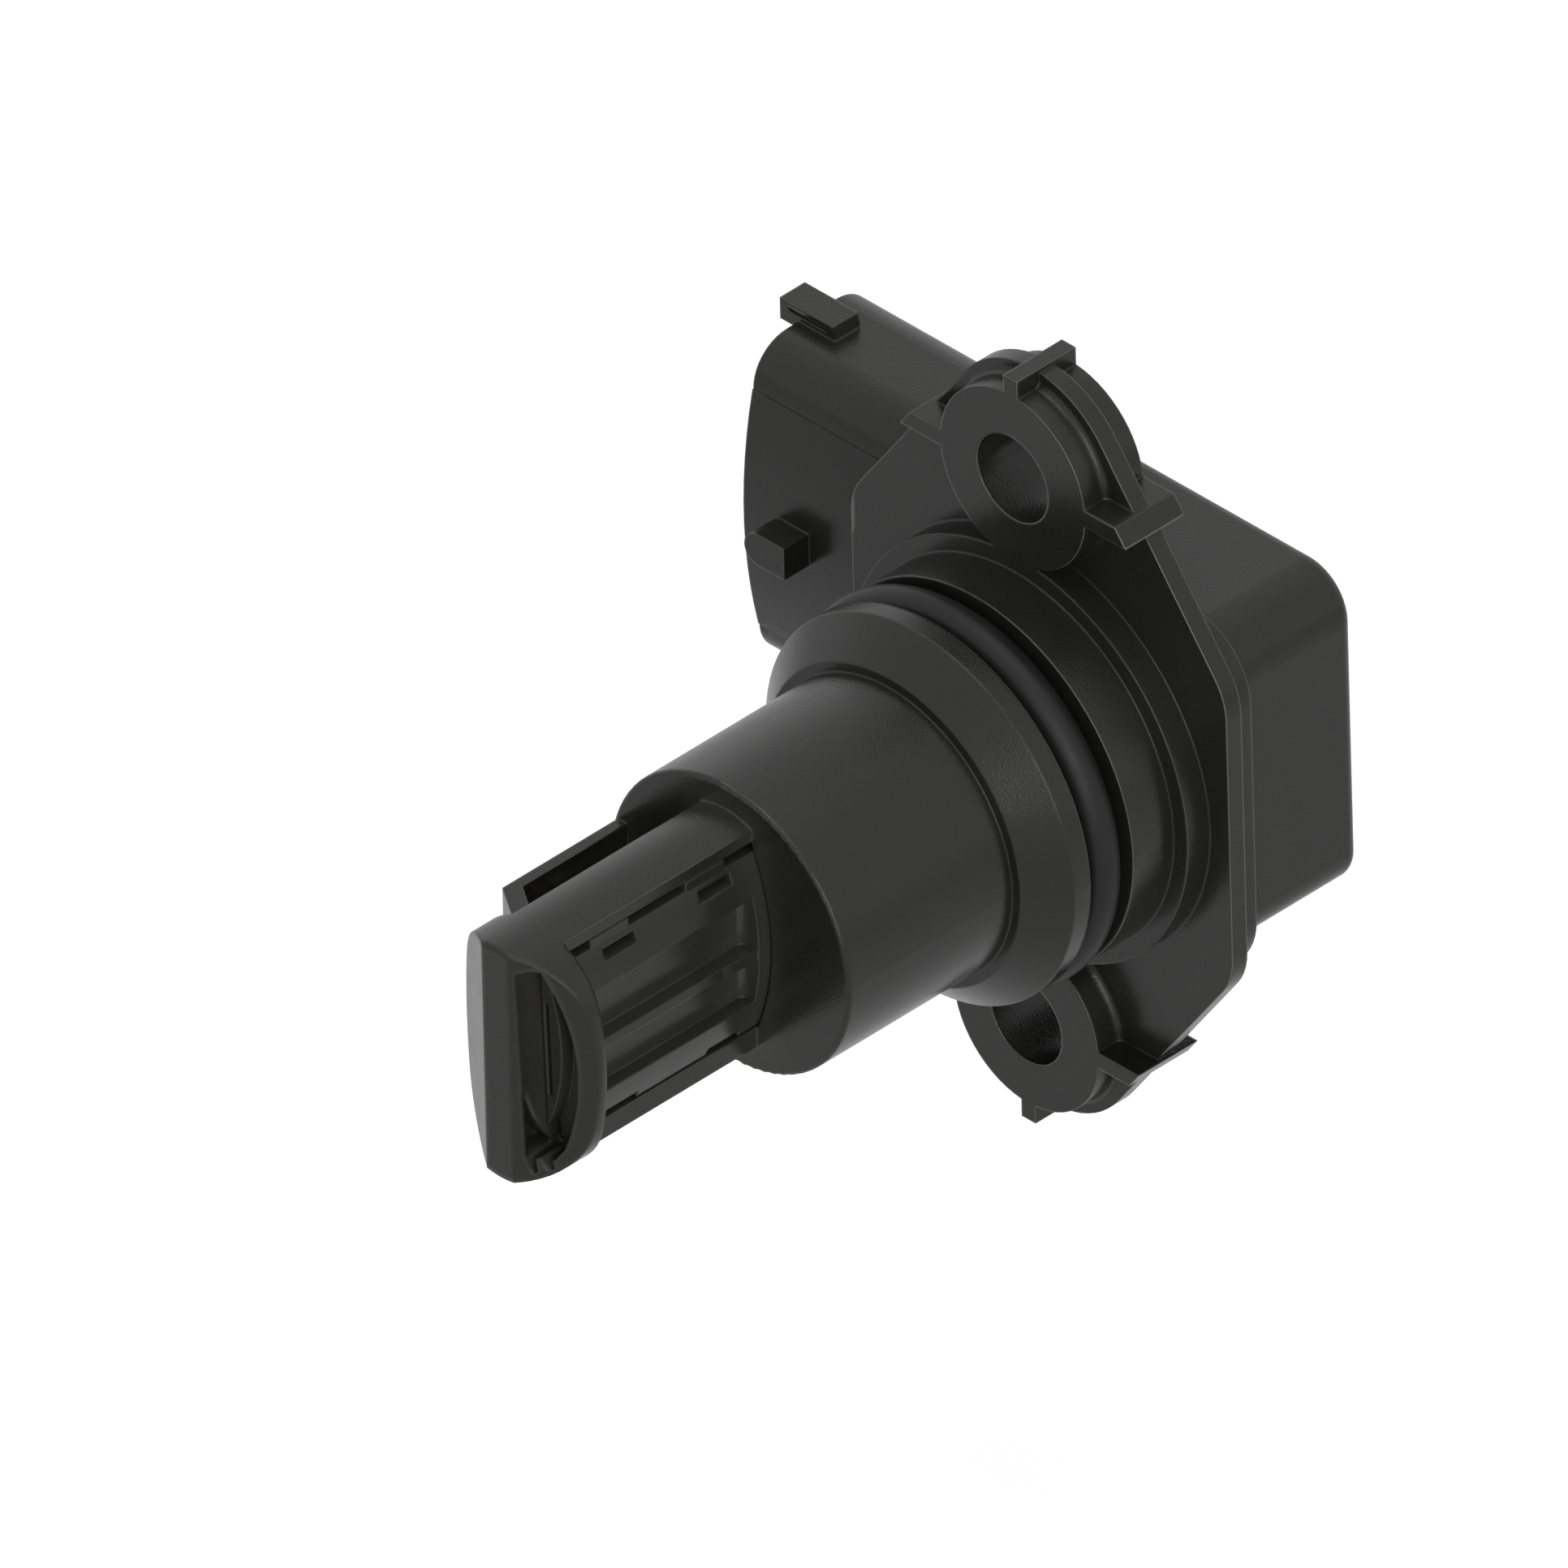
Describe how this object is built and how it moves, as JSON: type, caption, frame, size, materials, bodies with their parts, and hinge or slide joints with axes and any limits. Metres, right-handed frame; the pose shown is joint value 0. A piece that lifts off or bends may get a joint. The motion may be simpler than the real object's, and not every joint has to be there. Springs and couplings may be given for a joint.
{
  "type": "air restriction sensor",
  "caption": "Bolt-on sensor for an intake pipe: caged probe and side guard, sealed spigot, flange with bolt ears, electronics box and side plug connector.",
  "frame": {"origin": "where the probe's axis crosses the mounting face, midway between the two bolt holes", "axes": "+Y along the probe's axis from its tip towards the electronics box, +Z towards the upper bolt ear, -X towards the connector's mouth"},
  "size_m": [0.0513, 0.0685, 0.0602],
  "materials": {
    "housing_plastic": "fine grained satin, glass-filled",
    "carrier_plastic": "satin",
    "seal_rubber": "matte",
    "filter_plastic": "porous",
    "board": "lacquered laminate",
    "chip": "matte moulded",
    "bead": "dipped resin",
    "tinned_metal": "tin plated",
    "capacitor": "fired ceramic"
  },
  "bodies": {
    "root": {"housing": "housing_plastic", "o_ring": "seal_rubber", "probe_insert": "carrier_plastic", "insert_seal": "seal_rubber", "pressure_filter": "filter_plastic", "probe_board": "board", "air_element": "chip", "temperature_bead": "bead", "bead_lead_a": "tinned_metal", "bead_lead_b": "tinned_metal", "circuit_board": "board", "pressure_cell": "chip", "port_seal": "seal_rubber", "signal_chip": "chip", "capacitors": "capacitor", "terminal_carrier": "carrier_plastic", "terminal_1": "tinned_metal", "terminal_2": "tinned_metal", "terminal_3": "tinned_metal", "terminal_4": "tinned_metal", "cover_seal": "seal_rubber", "rear_cover": "housing_plastic", "vent_membrane": "filter_plastic"}
  },
  "joints": []
}
